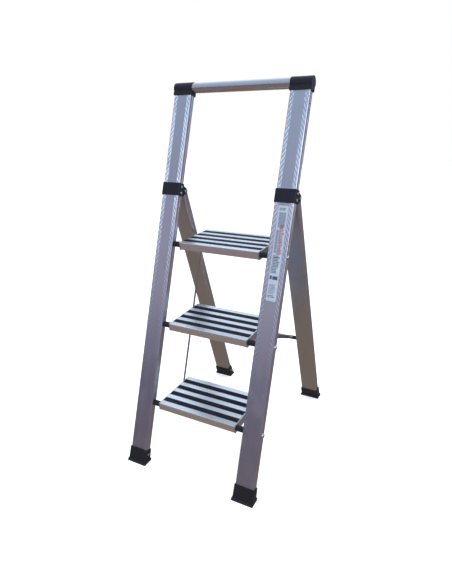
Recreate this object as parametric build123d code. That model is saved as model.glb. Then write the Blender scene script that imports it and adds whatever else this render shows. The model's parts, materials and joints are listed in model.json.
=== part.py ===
"""Slim folding step stool: three hinged treads between two leaning stiles, hand rail on top.

Millimetres.  +Z is up, X runs across the treads and the user climbs from the -Y side.
Left is the -X side.  Each sub-part is written as its own STEP file, all in one shared
frame whose origin lies on the floor under the middle of the stool.
"""
import os
from math import atan2, cos, degrees, hypot, radians, sin, tan

from build123d import *

# ---- overall sizes --------------------------------------------------------------------
FRAME_WIDTH = 431.0        # over the outer sides of the two stiles
FRONT_LEAN = 20.2          # stiles, degrees from vertical
REAR_LEAN = 17.9           # rear legs, degrees from vertical
FIRST_TREAD = 195.0        # top of the bottom tread above the floor
STEP_RISE = 235.0          # one tread top to the next
PIVOT_ABOVE_AXLE = 165.5   # along the stile, top step axle to rear leg pivot
RAIL_ABOVE_PIVOT = 304.0   # along the stile, rear leg pivot to hand rail
CROSSBAR_DROP = 548.6      # down the rear leg, pivot to cross bar
FOLD_SHORTFALL = 0.5       # degrees by which folded legs stay short of the stiles

# ---- stile and leg tube ---------------------------------------------------------------
TUBE_WIDTH = 58.0
TUBE_DEPTH = 22.0
TUBE_WALL = 1.6
TUBE_CORNER = 3.0
TUBE_OFF_FLOOR = 5.0       # lowest corner of every tube above the floor
PANEL_WIDTH = 33.0         # sunk middle of the decorated face
FACE_SINK = 0.5            # depth of panel, flutes and side grooves
FLUTES = 4                 # on each side of the panel
FLUTE_WIDTH = 1.2
FLUTE_PITCH = 2.3
SIDE_GROOVE = 3.0

# ---- treads -----------------------------------------------------------------------------
TREAD_WIDTH = 266.0        # over the end plates
TREAD_DEPTH = 171.0
NOSE_DEPTH = 22.0
NOSE_HEIGHT = 23.0
NOSE_WALL = 1.8
DECK = 1.6
END_PLATE = 3.0
END_PLATE_PROUD = 0.5      # above and before the tread
END_PLATE_SKIRT = 1.6      # below the nose
END_PLATE_ROUND = 3.6      # corner radius
STRIPS = 4
STRIP_WIDTH = 19.3
STRIP_SINK = 2.0
STRIP_PROUD = 0.5
RIB_PITCH = 2.35
RIB_GROOVE = 0.9
BAND_RIB_SINK = 0.35
STRIP_RIB_SINK = 0.6
POST_STRIPS = (1, 3)       # strips with a screw post under them, counted from 0 in front
POST_D = 8.0
SCREW_D = 3.2
SCREW_HEAD = 6.4

# ---- axles and spacers ------------------------------------------------------------------
AXLE_D = 8.0
AXLE_BORE = 5.0
AXLE_BELOW_TOP = 9.0       # axle centre under the tread top
AXLE_HEAD = 12.0
AXLE_HEAD_H = 2.2
WASHER_D = 15.0
WASHER_T = 1.2
BUSH_D = 11.0
BUSH_FLANGE_T = 1.5
SPACER_D = 17.5

# ---- rods and braces --------------------------------------------------------------------
ROD_REACH = 138.0          # rod pivot behind each axle
ROD_BELOW = 14.0           # rod pivot under each axle
ROD_WIDTH = 7.0
ROD_THICK = 3.0
ROD_EYE = 6.0              # radius
PIN_D = 5.0
PIN_HEAD = 9.0
PIN_HEAD_H = 1.5
BRACE_BELOW = 34.0         # brace pivot under the middle axle
BRACE_WIDTH = 12.0
BRACE_THICK = 2.5
BRACE_PIN_TAIL = 1.3
CROSSBAR_D = 10.0
CROSSBAR_WALL = 1.5
CROSSBAR_GRIP = 8.0        # past the inner side of each leg
HUB_D = 14.0
LEG_SPACER = 14.3          # long
LEG_SPACER_D = 13.0
LUG_R = 7.5
DEEP_LUG_R = 8.5

# ---- hinge brackets ---------------------------------------------------------------------
BRACKET_LENGTH = 38.0
BRACKET_BELOW_PIVOT = 19.0
BRACKET_WALL = 2.3
EAR_R = 9.3
EAR_RIM = 1.6              # raised edge round the pockets of an ear
EAR_RIB = 1.8              # raised diagonal between the pockets
EAR_POCKET = 0.8           # deep
RIVET_PAD = 5.0            # radius left full round each rivet
PIVOT_PAD = 6.2            # radius left full round the pivot pin
PIVOT_PIN_D = 6.0
PIVOT_HEAD = 10.0
PIVOT_HEAD_H = 1.8
RIVET_D = 4.0
RIVET_HEAD = 7.6
RIVET_HEAD_H = 1.5
BRACKET_RIVETS = (8.5, -10.0)   # along the stile from the pivot
PLUG_INSERT = 26.0

# ---- hand rail and caps -----------------------------------------------------------------
RAIL_D = 29.5
RAIL_WALL = 1.5
CAP_ROUND = 16.6           # radius over the rail
CAP_SKIRT = 22.3           # rail centre down to the skirt edge
CAP_WALL = 2.5
CAP_END = 3.0              # wall over the rail end
CAP_PLUG = 32.0
CAP_SCREW_D = 3.5
CAP_SCREW_HEAD = 7.0
CAP_SCREW_SEAT = 1.2       # depth of the head's seat in the cap
CAP_SCREW_SLIP = 0.2       # hole in the rail wall over the screw

# ---- feet -------------------------------------------------------------------------------
FOOT_GRIP = 33.5           # up the tube from its lower end
FOOT_WALL = 2.5
FOOT_DRAFT = 1.0           # degrees by which the boot widens downwards
FOOT_BELOW_TUBE = 30.0     # blank under the tube end, trimmed by the floor
FLARE = 1.9                # beyond the foot wall
FLARE_SIDE = 2.4
FLARE_HEIGHT = 8.0
SOLE_GROOVE = 3.0
SOLE_GROOVES = 3
FOOT_RIVET_UP = 18.0       # up the tube from its lower end

# ---- clearances ---------------------------------------------------------------------------
RUN = 0.05                 # radial, running fit on a pin
SIDE_GAP = 0.3             # between parts that move past each other
SLIP = 0.1                 # plug in tube, strip in channel

# ---- sizes that follow ------------------------------------------------------------------
TF, TR = radians(FRONT_LEAN), radians(REAR_LEAN)
HALF = FRAME_WIDTH / 2
INNER = HALF - TUBE_WIDTH          # inner side of a stile
STILE_X = HALF - TUBE_WIDTH / 2
MID = TUBE_DEPTH / 2               # axle depth behind the stile face
TREAD_HALF = TREAD_WIDTH / 2
PANEL_HALF = TREAD_HALF - END_PLATE
NOSE_LOW = AXLE_BELOW_TOP - NOSE_HEIGHT
SETBACK = MID / cos(TF) - AXLE_BELOW_TOP * tan(TF)   # tread front to axle
BUSH_FLANGE = 2 * (min(SETBACK, AXLE_BELOW_TOP) - NOSE_WALL - SIDE_GAP)
BAND = (TREAD_DEPTH - STRIPS * STRIP_WIDTH) / (STRIPS + 1)
SPACER_FROM = TREAD_HALF + SIDE_GAP
BRACE_OUT = SPACER_FROM + BRACE_THICK
ROD_IN = TREAD_HALF + 4.8
ROD_OUT = ROD_IN + ROD_THICK
PIVOT_DEPTH = TUBE_DEPTH + BRACKET_WALL + 0.7 + TUBE_DEPTH / 2
LEG_WIDTH = TUBE_WIDTH - 2 * SIDE_GAP
LEG_IN = INNER + SIDE_GAP
FOLD_TREAD = 90 - FRONT_LEAN
FOLD_LEG = FRONT_LEAN + REAR_LEAN - FOLD_SHORTFALL


def along(y, z, dy, dz):
    """Frame at (y, z) with local Z along (dy, dz) and X across the stool."""
    return Plane(origin=(0, y, z), x_dir=(1, 0, 0), z_dir=(0, dy, dz))


def on_stile(depth, s):
    """Point (y, z) at a depth behind the stile face, s along the stile."""
    return depth * cos(TF) + s * sin(TF), -depth * sin(TF) + s * cos(TF)


def turned(y, z, angle):
    """Vector (y, z) turned about +X, degrees."""
    a = radians(angle)
    return y * cos(a) - z * sin(a), y * sin(a) + z * cos(a)


TREAD_TOPS = [FIRST_TREAD + k * STEP_RISE for k in range(3)]
AXLE_S = [(top - AXLE_BELOW_TOP + MID * sin(TF)) / cos(TF) for top in TREAD_TOPS]
AXLES = [on_stile(MID, s) for s in AXLE_S]
PIVOT_S = AXLE_S[2] + PIVOT_ABOVE_AXLE
PIVOT = on_stile(PIVOT_DEPTH, PIVOT_S)
RAIL_S = PIVOT_S + RAIL_ABOVE_PIVOT
BAR = (PIVOT[0] + CROSSBAR_DROP * sin(TR), PIVOT[1] - CROSSBAR_DROP * cos(TR))
ROD_PIVOTS = [(y + ROD_REACH, z - ROD_BELOW) for y, z in AXLES]
STILE_LOW = (TUBE_OFF_FLOOR + TUBE_DEPTH * sin(TF)) / cos(TF)
STILE_TOP = RAIL_S - RAIL_D / 2 - 2.0
LEG_LOW = (TUBE_OFF_FLOOR - PIVOT[1] + MID * sin(TR)) / cos(TR)   # from the pivot

FRONT = along(0, 0, sin(TF), cos(TF))
REAR = along(PIVOT[0], PIVOT[1], -sin(TR), cos(TR))


def brace_reach():
    """Brace pivot behind the middle axle so one brace length suits open and folded."""
    ay, az = BAR[0] - AXLES[1][0], BAR[1] - AXLES[1][1]
    dy, dz = turned(BAR[0] - PIVOT[0], BAR[1] - PIVOT[1], -FOLD_LEG)
    by, bz = turned(PIVOT[0] + dy - AXLES[1][0], PIVOT[1] + dz - AXLES[1][1], -FOLD_TREAD)
    half = (by * by + bz * bz - ay * ay - az * az) / 2
    return (half + BRACE_BELOW * (bz - az)) / (by - ay)


BRACE_REACH = brace_reach()
BRACE_TOP = (AXLES[1][0] + BRACE_REACH, AXLES[1][1] - BRACE_BELOW)
BRACE_LENGTH = hypot(BRACE_TOP[0] - BAR[0], BRACE_TOP[1] - BAR[1])
BRACE = along(BAR[0], BAR[1], BRACE_TOP[0] - BAR[0], BRACE_TOP[1] - BAR[1])
RODS = along(*ROD_PIVOTS[0], sin(TF), cos(TF))

SOLE_HALF = MID + FOOT_WALL + FLARE
FRONT_SOLE = (MID / cos(TF), SOLE_HALF / cos(TF))             # middle, half length
REAR_SOLE = (PIVOT[0] + PIVOT[1] * tan(TR), SOLE_HALF / cos(TR))
MID_Y = (FRONT_SOLE[0] - FRONT_SOLE[1] + REAR_SOLE[0] + REAR_SOLE[1]) / 2


# ---- shape helpers ------------------------------------------------------------------------
def block(x0, x1, y0, y1, z0, z1):
    """Box between two corners."""
    return Pos((x0 + x1) / 2, (y0 + y1) / 2, (z0 + z1) / 2) * Box(x1 - x0, y1 - y0, z1 - z0)


def bar_x(x0, x1, y, z, d):
    """Round bar along X."""
    low = min(x0, x1)
    cyl = Cylinder(d / 2, abs(x1 - x0), align=(Align.CENTER, Align.CENTER, Align.MIN))
    return Pos(low, y, z) * (Rot(0, 90, 0) * cyl)


def tube_x(x0, x1, y, z, d, bore):
    """Round tube along X."""
    return bar_x(x0, x1, y, z, d) - bar_x(x0, x1, y, z, bore)


def rect(u0, u1, v0, v1):
    """Rectangle between two corners."""
    return Pos((u0 + u1) / 2, (v0 + v1) / 2) * Rectangle(u1 - u0, v1 - v0)


def disc(u, v, r):
    return Pos(u, v) * Circle(r)


def poly(*points):
    return Polygon(*points, align=None)


def push_x(face, x0, x1):
    """Push a face drawn in (y, z) along X."""
    return Pos(x0, 0, 0) * extrude(Plane.YZ * face, amount=x1 - x0)


def rounded_end(solid, axis, index, radius):
    """Round the edges of the outermost face along an axis."""
    return fillet(solid.faces().sort_by(axis)[index].edges(), radius)


def headed(x, y, z, side, shank, length, head, head_h):
    """Pin along X: domed head on the face at x pointing to side, shank the other way."""
    top = Cylinder(head / 2, head_h, align=(Align.CENTER, Align.CENTER, Align.MIN))
    top = rounded_end(top, Axis.Z, -1, head_h * 0.7)
    low = Cylinder(shank / 2, length, align=(Align.CENTER, Align.CENTER, Align.MAX))
    return Pos(x, y, z) * (Rot(0, 90 * side, 0) * (top + low))


def group(shapes):
    return Compound(children=list(shapes))


def span(side, near, far):
    """X interval between two distances from the middle, on one side."""
    return (near, far) if side > 0 else (-far, -near)


# ---- stiles and rear legs -----------------------------------------------------------------
def tube_section(width):
    """Tube in (x, depth): fluted face with sunk panel at depth 0, plain face behind."""
    middle = Pos(0, MID)
    face = middle * RectangleRounded(width, TUBE_DEPTH, TUBE_CORNER)
    face -= rect(-PANEL_WIDTH / 2, PANEL_WIDTH / 2, 0, FACE_SINK)
    for side in (-1, 1):
        for k in range(FLUTES):
            x = side * (PANEL_WIDTH / 2 + FLUTE_WIDTH + k * FLUTE_PITCH)
            face -= rect(x - FLUTE_WIDTH / 2, x + FLUTE_WIDTH / 2, 0, FACE_SINK)
        edge = side * width / 2
        face -= rect(edge - FACE_SINK, edge + FACE_SINK, MID - SIDE_GROOVE / 2,
                     MID + SIDE_GROOVE / 2)
    return face - middle * bore_section(width, 0)


def bore_section(width, gap):
    """Inside of the tube, centred, smaller by a gap all round."""
    shrink = TUBE_WALL + gap
    return RectangleRounded(width - 2 * shrink, TUBE_DEPTH - 2 * shrink, TUBE_CORNER - TUBE_WALL)


def stile(side):
    body = extrude(tube_section(TUBE_WIDTH), amount=STILE_TOP - STILE_LOW)
    body = Pos(side * STILE_X, 0, STILE_LOW) * body
    wide = span(side, INNER - 1, HALF + 1)
    for s in AXLE_S:
        body -= bar_x(*wide, MID, s, AXLE_D)
    for ds in BRACKET_RIVETS:
        body -= bar_x(*wide, MID, PIVOT_S + ds, RIVET_D)
    body -= bar_x(*span(side, INNER - 1, STILE_X), MID, STILE_LOW + FOOT_RIVET_UP, RIVET_D)
    return FRONT * body


def leg_envelope(side):
    """Room a leg may fill: straight below the pivot, round above it."""
    x0, x1 = span(side, LEG_IN, LEG_IN + LEG_WIDTH)
    return block(x0, x1, -MID, MID, LEG_LOW, 0) + bar_x(x0, x1, 0, 0, TUBE_DEPTH)


def rear_leg(side):
    section = Rot(0, 0, 180) * (Pos(0, -MID) * tube_section(LEG_WIDTH))
    body = Pos(side * STILE_X, 0, LEG_LOW) * extrude(section, amount=MID - LEG_LOW)
    body &= leg_envelope(side)
    body -= bar_x(*span(side, INNER, HALF), 0, 0, PIVOT_PIN_D + 2 * RUN)
    body -= bar_x(*span(side, INNER, STILE_X), 0, -CROSSBAR_DROP, CROSSBAR_D)
    body -= bar_x(*span(side, INNER, STILE_X), 0, LEG_LOW + FOOT_RIVET_UP, RIVET_D)
    return REAR * body


def leg_plug(side):
    section = Rot(0, 0, 180) * bore_section(LEG_WIDTH, SLIP)
    body = Pos(side * STILE_X, 0, -PLUG_INSERT) * extrude(section, amount=PLUG_INSERT + MID)
    body &= leg_envelope(side)
    body -= bar_x(*span(side, INNER, HALF), 0, 0, PIVOT_PIN_D + 2 * RUN)
    hollow = block(*span(side, LEG_IN + 7, LEG_IN + LEG_WIDTH - 7), -MID + 4, MID - 4,
                   -PLUG_INSERT, -PIVOT_PIN_D / 2 - 2)
    return REAR * (body - hollow)


# ---- feet ---------------------------------------------------------------------------------
def foot(side, frame, lean, sole, tube_low, width, middle):
    """Boot on a tube end: sleeve along the tube, flared level sole on the floor."""
    out_x = TUBE_WIDTH / 2 + FOOT_WALL
    out_y = MID + FOOT_WALL
    length = FOOT_GRIP + FOOT_BELOW_TUBE
    spread = length * tan(radians(FOOT_DRAFT))
    outline = RectangleRounded(2 * (out_x + spread), 2 * (out_y + spread), TUBE_CORNER + spread)
    sleeve = extrude(outline, amount=length, taper=FOOT_DRAFT)
    sleeve = rounded_end(Pos(0, 0, tube_low - FOOT_BELOW_TUBE) * sleeve, Axis.Z, -1, 0.8)
    sleeve = frame * (Pos(side * STILE_X, middle, 0) * sleeve)
    y, half = sole
    lift = FLARE_HEIGHT * tan(lean)
    face = poly((y - half, 0), (y + half, 0), (y + half + lift, FLARE_HEIGHT),
                (y - half + lift, FLARE_HEIGHT))
    reach = out_x + FLARE_SIDE
    flare = push_x(face, side * STILE_X - reach, side * STILE_X + reach)
    flare = rounded_end(flare, Axis.Z, -1, 1.4)
    body = sleeve + flare
    x0, x1 = side * STILE_X - width / 2, side * STILE_X + width / 2
    room = block(x0, x1, middle - MID, middle + MID, tube_low, tube_low + FOOT_GRIP + 1)
    room += bar_x(*span(side, INNER - 2 * FOOT_WALL, STILE_X), middle, tube_low + FOOT_RIVET_UP,
                  RIVET_D)
    body -= frame * room
    body -= block(-HALF * 2, HALF * 2, y - 200, y + 200, -200, 0)
    for k in range(SOLE_GROOVES):
        at = y + (k - (SOLE_GROOVES - 1) / 2) * 2.4 * SOLE_GROOVE
        body -= block(-HALF * 2, HALF * 2, at - SOLE_GROOVE / 2, at + SOLE_GROOVE / 2, -1, 1.2)
    return body


def front_foot(side):
    return foot(side, FRONT, TF, FRONT_SOLE, STILE_LOW, TUBE_WIDTH, MID)


def rear_foot(side):
    return foot(side, REAR, -TR, REAR_SOLE, LEG_LOW, LEG_WIDTH, 0)


def foot_rivets(frame, tube_low, middle):
    """Small rivet through the inner wall of each boot."""
    up = tube_low + FOOT_RIVET_UP
    swell = (FOOT_GRIP - FOOT_RIVET_UP + RIVET_HEAD / 2) * tan(radians(FOOT_DRAFT))
    face = INNER - FOOT_WALL - swell
    length = FOOT_WALL + swell + 2 * TUBE_WALL + SIDE_GAP
    return group(frame * headed(side * face, middle, up, -side, RIVET_D, length, RIVET_HEAD,
                                RIVET_HEAD_H) for side in (-1, 1))


# ---- hand rail and caps ---------------------------------------------------------------------
def cap_screw_at(side):
    return side * STILE_X, TUBE_DEPTH / 2 + CAP_ROUND, RAIL_S


def cap_screw_hole(side, diameter):
    """Cutter from behind, through cap and rail wall."""
    x, depth, s = cap_screw_at(side)
    return Pos(x, depth - 3, s) * (Rot(90, 0, 0) * Cylinder(diameter / 2, 12))


def handrail():
    rail = tube_x(-HALF, HALF, MID, RAIL_S, RAIL_D, RAIL_D - 2 * RAIL_WALL)
    for side in (-1, 1):
        rail -= cap_screw_hole(side, CAP_SCREW_D + CAP_SCREW_SLIP)
    return FRONT * rail


def top_cap(side):
    """Cap over stile end and rail end, with a plug down into the stile."""
    face = rect(-CAP_WALL, TUBE_DEPTH + CAP_WALL, RAIL_S - CAP_SKIRT, RAIL_S)
    face += disc(MID, RAIL_S, CAP_ROUND)
    near, far = INNER - CAP_WALL, HALF + CAP_END
    body = push_x(face, *span(side, near, far))
    body = rounded_end(body, Axis.X, -1, 1.2)
    body = rounded_end(body, Axis.X, 0, 1.2)
    body -= block(*span(side, INNER, HALF), 0, TUBE_DEPTH, RAIL_S - CAP_SKIRT - 1, STILE_TOP)
    plug = extrude(bore_section(TUBE_WIDTH, SLIP), amount=CAP_PLUG)
    plug -= extrude(RectangleRounded(TUBE_WIDTH - 11, TUBE_DEPTH - 9, 1.0), amount=CAP_PLUG - 3)
    body += Pos(side * STILE_X, MID, STILE_TOP - CAP_PLUG) * plug
    body -= bar_x(*span(side, near - 1, HALF), MID, RAIL_S, RAIL_D)
    x, depth, s = cap_screw_at(side)
    seat = Rot(90, 0, 0) * Cylinder(CAP_SCREW_HEAD / 2, 2 * CAP_SCREW_SEAT)
    return FRONT * (body - cap_screw_hole(side, CAP_SCREW_D) - Pos(x, depth, s) * seat)


def cap_screw(side):
    """Pan screw from behind, through the cap into the rail wall."""
    x, depth, s = cap_screw_at(side)
    head = Cylinder(CAP_SCREW_HEAD / 2, 1.6, align=(Align.CENTER, Align.CENTER, Align.MIN))
    head = rounded_end(head, Axis.Z, -1, 0.8)
    head -= Pos(0, 0, 1.6) * Box(4.2, 1.0, 1.2) + Pos(0, 0, 1.6) * Box(1.0, 4.2, 1.2)
    shank = CAP_ROUND - RAIL_D / 2 + RAIL_WALL - CAP_SCREW_SEAT
    head += Cylinder(CAP_SCREW_D / 2, shank, align=(Align.CENTER, Align.CENTER, Align.MAX))
    return FRONT * (Pos(x, depth - CAP_SCREW_SEAT, s) * (Rot(-90, 0, 0) * head))


# ---- hinge brackets -------------------------------------------------------------------------
def ear_face():
    """Side view of an ear in (depth, along the stile)."""
    low = PIVOT_S - BRACKET_BELOW_PIVOT
    top = low + BRACKET_LENGTH
    d, s = PIVOT_DEPTH, PIVOT_S
    a = radians(14)
    face = poly((0, low), (TUBE_DEPTH, low), (d, s - EAR_R), (d + EAR_R * sin(a),
                s + EAR_R * cos(a)), (2, top))
    return face + disc(d, s, EAR_R)


def ear_pockets():
    """Shallow pockets that leave an ear a rim, pads and one diagonal rib."""
    face = offset(ear_face(), amount=-EAR_RIM)
    for ds in BRACKET_RIVETS:
        face -= disc(MID, PIVOT_S + ds, RIVET_PAD)
        face -= rib_line((MID, PIVOT_S + ds), (PIVOT_DEPTH, PIVOT_S), EAR_RIB)
    return face - disc(PIVOT_DEPTH, PIVOT_S, PIVOT_PAD)


def rib_line(a, b, width):
    """Straight band between two points of a side view."""
    length = hypot(b[0] - a[0], b[1] - a[1])
    turn = degrees(atan2(b[1] - a[1], b[0] - a[0]))
    return Pos((a[0] + b[0]) / 2, (a[1] + b[1]) / 2) * (Rot(0, 0, turn) * Rectangle(length, width))


def hinge_bracket(side):
    """Sleeve round the stile with two ears that carry the rear leg pivot."""
    low = PIVOT_S - BRACKET_BELOW_PIVOT
    w = BRACKET_WALL
    body = block(*span(side, INNER - w, HALF + w), -w, TUBE_DEPTH + w, low, low + BRACKET_LENGTH)
    body = fillet(body.edges().filter_by(Axis.Z), TUBE_CORNER)
    body = rounded_end(body, Axis.Z, -1, 0.7)
    body = rounded_end(body, Axis.Z, 0, 0.7)
    for near in (INNER - w, HALF):
        body += push_x(ear_face(), *span(side, near, near + w))
    for near in (INNER - w, HALF + w - EAR_POCKET):
        body -= push_x(ear_pockets(), *span(side, near, near + EAR_POCKET))
    body -= block(*span(side, INNER, HALF), 0, TUBE_DEPTH, low - 1, low + BRACKET_LENGTH + 1)
    through = span(side, INNER - 2 * w, HALF + 2 * w)
    body -= bar_x(*through, PIVOT_DEPTH, PIVOT_S, PIVOT_PIN_D)
    for ds in BRACKET_RIVETS:
        body -= bar_x(*through, MID, PIVOT_S + ds, RIVET_D)
    return FRONT * body


def bracket_rivets():
    """Two rivets on each side of each bracket, through bracket and stile wall."""
    rivets = []
    length = BRACKET_WALL + 2 * TUBE_WALL
    for side in (-1, 1):
        for ds in BRACKET_RIVETS:
            for x, way in ((INNER - BRACKET_WALL, -side), (HALF + BRACKET_WALL, side)):
                rivets.append(FRONT * headed(side * x, MID, PIVOT_S + ds, way, RIVET_D, length,
                                             RIVET_HEAD, RIVET_HEAD_H))
    return group(rivets)


def pivot_pin(side):
    """Pin through both ears and the top of the rear leg, headed at both ends."""
    near, far = INNER - BRACKET_WALL, HALF + BRACKET_WALL
    pin = headed(side * far, PIVOT_DEPTH, PIVOT_S, side, PIVOT_PIN_D, (far - near) / 2,
                 PIVOT_HEAD, PIVOT_HEAD_H)
    pin += headed(side * near, PIVOT_DEPTH, PIVOT_S, -side, PIVOT_PIN_D, (far - near) / 2,
                  PIVOT_HEAD, PIVOT_HEAD_H)
    return FRONT * pin


# ---- step axles -----------------------------------------------------------------------------
def axle(k):
    """Hollow axle with a rolled head at each end."""
    y, z = AXLES[k]
    end = HALF + WASHER_T
    pin = headed(end, y, z, 1, AXLE_D, end, AXLE_HEAD, AXLE_HEAD_H)
    pin += headed(-end, y, z, -1, AXLE_D, end, AXLE_HEAD, AXLE_HEAD_H)
    return pin - bar_x(-end - AXLE_HEAD_H, end + AXLE_HEAD_H, y, z, AXLE_BORE)


def axle_washers():
    return group(tube_x(*span(side, HALF, HALF + WASHER_T), y, z, WASHER_D, AXLE_D)
                 for side in (-1, 1) for y, z in AXLES)


def spacers(k):
    """Collars between the end plates and the stiles."""
    y, z = AXLES[k]
    return group(tube_x(*span(side, SPACER_FROM, INNER), y, z, SPACER_D, AXLE_D)
                 for side in (-1, 1))


# ---- treads ---------------------------------------------------------------------------------
def on_step(k):
    """Place a shape drawn behind the tread front and above the axle."""
    y, z = AXLES[k]
    return Pos(0, y - SETBACK, z)


def strip_starts():
    return [BAND + n * (BAND + STRIP_WIDTH) for n in range(STRIPS)]


def screw_posts():
    """Screw post centres behind the tread front."""
    return [strip_starts()[n] + STRIP_WIDTH / 2 for n in POST_STRIPS]


def rib_cuts(start, width, top, sink):
    """Fine grooves across a band, in side view."""
    count = int((width - RIB_GROOVE) / RIB_PITCH)
    first = start + (width - (count - 1) * RIB_PITCH) / 2
    return [rect(first + n * RIB_PITCH - RIB_GROOVE / 2, first + n * RIB_PITCH + RIB_GROOVE / 2,
                 top - sink, top) for n in range(count)]


def tread_section():
    """Side view of the tread panel: hollow nose, ribbed deck with strip channels, rear lip."""
    top = AXLE_BELOW_TOP
    nose = rect(0, NOSE_DEPTH, NOSE_LOW, top)
    nose = fillet(nose.vertices().sort_by(Axis.X)[:2], NOSE_WALL)
    nose -= rect(NOSE_WALL, NOSE_DEPTH - NOSE_WALL, NOSE_LOW + NOSE_WALL, top - NOSE_WALL)
    face = nose + rect(NOSE_DEPTH - NOSE_WALL, TREAD_DEPTH, top - DECK, top)
    face += rect(TREAD_DEPTH - NOSE_WALL, TREAD_DEPTH, NOSE_LOW, top)
    face += rect(TREAD_DEPTH - 8, TREAD_DEPTH, NOSE_LOW, NOSE_LOW + DECK)
    for u in strip_starts():
        face += rect(u - DECK, u + STRIP_WIDTH + DECK, top - STRIP_SINK - DECK, top)
    for u in screw_posts():
        face += rect(u - DECK / 2, u + DECK / 2, 0, top - STRIP_SINK) + disc(u, 0, POST_D / 2)
    for u in strip_starts():
        face -= rect(u, u + STRIP_WIDTH, top - STRIP_SINK, top)
    for n in range(STRIPS + 1):
        for cut in rib_cuts(n * (BAND + STRIP_WIDTH), BAND, top, BAND_RIB_SINK):
            face -= cut
    for u in screw_posts():
        face -= disc(u, 0, SCREW_D / 2)
    return face


def strip_section():
    low = AXLE_BELOW_TOP - STRIP_SINK
    top = AXLE_BELOW_TOP + STRIP_PROUD
    face = rect(SLIP, STRIP_WIDTH - SLIP, low, top)
    for cut in rib_cuts(0, STRIP_WIDTH, top, STRIP_RIB_SINK):
        face -= cut
    return face


def grip_strips(k, section):
    body = push_x(section, -PANEL_HALF + SLIP, PANEL_HALF - SLIP)
    return group(on_step(k) * (Pos(0, u, 0) * body) for u in strip_starts())


def lug(face, u, v, r, spread):
    """Add a rounded lug hanging from the lower edge of an end plate."""
    root = NOSE_LOW + 1
    face += poly((u - r - spread, root), (u - r * 0.95, v - r * 0.3), (u + r * 0.95, v - r * 0.3),
                 (u + r + spread, root))
    return face + disc(u, v, r)


def end_plate(k, side):
    """Plate that closes the tread and carries bush, rod pivot and, in the middle, the brace."""
    plate = rect(-END_PLATE_PROUD, TREAD_DEPTH + END_PLATE_PROUD,
                 NOSE_LOW - END_PLATE_SKIRT, AXLE_BELOW_TOP + END_PLATE_PROUD)
    plate = fillet(plate.vertices(), END_PLATE_ROUND)
    plate = lug(plate, SETBACK + ROD_REACH, -ROD_BELOW, LUG_R, 5)
    if k == 1:
        plate = lug(plate, SETBACK + BRACE_REACH, -BRACE_BELOW, DEEP_LUG_R, 16)
    plate -= disc(SETBACK, 0, BUSH_D / 2)
    plate -= disc(SETBACK + ROD_REACH, -ROD_BELOW, PIN_D / 2 + RUN)
    body = push_x(plate, *span(side, PANEL_HALF, TREAD_HALF))
    for u in screw_posts():
        body -= Pos(0, u, 0) * screw_shape(side)
    return on_step(k) * body


def screw_shape(side):
    """Countersunk screw along X with its head flush in the end plate."""
    cone = Cone(SCREW_D / 2, SCREW_HEAD / 2, 1.6, align=(Align.CENTER, Align.CENTER, Align.MAX))
    shank = Cylinder(SCREW_D / 2, 18, align=(Align.CENTER, Align.CENTER, Align.MAX))
    return Pos(side * TREAD_HALF, 0, 0) * (Rot(0, 90 * side, 0) * (cone + shank))


def end_plate_screws(k):
    slot = block(-0.6, 0.6, -0.5, 0.5, -2, 2)
    shapes = []
    for side in (-1, 1):
        screw = screw_shape(side) - Pos(side * TREAD_HALF, 0, 0) * slot
        shapes += [on_step(k) * (Pos(0, u, 0) * screw) for u in screw_posts()]
    return group(shapes)


def bushes(k):
    """Flanged bushes that run on the axle."""
    y, z = AXLES[k]
    shapes = []
    for side in (-1, 1):
        body = bar_x(*span(side, PANEL_HALF, TREAD_HALF), y, z, BUSH_D)
        body += bar_x(*span(side, PANEL_HALF - BUSH_FLANGE_T, PANEL_HALF), y, z, BUSH_FLANGE)
        shapes.append(body - bar_x(*span(side, PANEL_HALF - 5, TREAD_HALF + 1), y, z,
                                   AXLE_D + 2 * RUN))
    return group(shapes)


# ---- link rods and braces -------------------------------------------------------------------
def rod_stations():
    return [hypot(y - ROD_PIVOTS[0][0], z - ROD_PIVOTS[0][1]) for y, z in ROD_PIVOTS]


def link_rod(side):
    """Flat rod joining the rear corners of the three treads."""
    stations = rod_stations()
    face = rect(-ROD_WIDTH / 2, ROD_WIDTH / 2, 0, stations[-1])
    for s in stations:
        face += disc(0, s, ROD_EYE)
    for s in stations:
        face -= disc(0, s, PIN_D / 2)
    return RODS * push_x(face, *span(side, ROD_IN, ROD_OUT))


def link_rod_pins():
    """Shouldered pins fixed in the rods, turning in the end plates."""
    pins = []
    for side in (-1, 1):
        for s in rod_stations():
            pin = headed(side * ROD_OUT, 0, s, side, PIN_D, ROD_OUT - PANEL_HALF + SIDE_GAP,
                         PIN_HEAD, PIN_HEAD_H)
            pin += bar_x(*span(side, SPACER_FROM, ROD_IN), 0, s, PIN_HEAD)
            pin += headed(side * (PANEL_HALF - SIDE_GAP), 0, s, -side, PIN_D, 0.1, PIN_HEAD,
                          PIN_HEAD_H)
            pins.append(RODS * pin)
    return group(pins)


def brace(side):
    """Flat bar from the cross bar up to the middle step, with a hub on the cross bar."""
    face = rect(-BRACE_WIDTH / 2, BRACE_WIDTH / 2, 0, BRACE_LENGTH)
    face += disc(0, 0, HUB_D / 2) + disc(0, BRACE_LENGTH, BRACE_WIDTH / 2)
    face -= disc(0, BRACE_LENGTH, PIN_D / 2)
    body = push_x(face, *span(side, SPACER_FROM, BRACE_OUT))
    hub_end = INNER - LEG_SPACER - SIDE_GAP
    body += bar_x(*span(side, BRACE_OUT, hub_end), 0, 0, HUB_D)
    body -= bar_x(*span(side, SPACER_FROM - 1, hub_end + 1), 0, 0, CROSSBAR_D + 2 * RUN)
    return BRACE * body


def brace_pins():
    """Low headed pin at the upper end of each brace."""
    return group(BRACE * headed(side * BRACE_OUT, 0, BRACE_LENGTH, side, PIN_D, BRACE_THICK,
                                PIN_HEAD, BRACE_PIN_TAIL) for side in (-1, 1))


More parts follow.
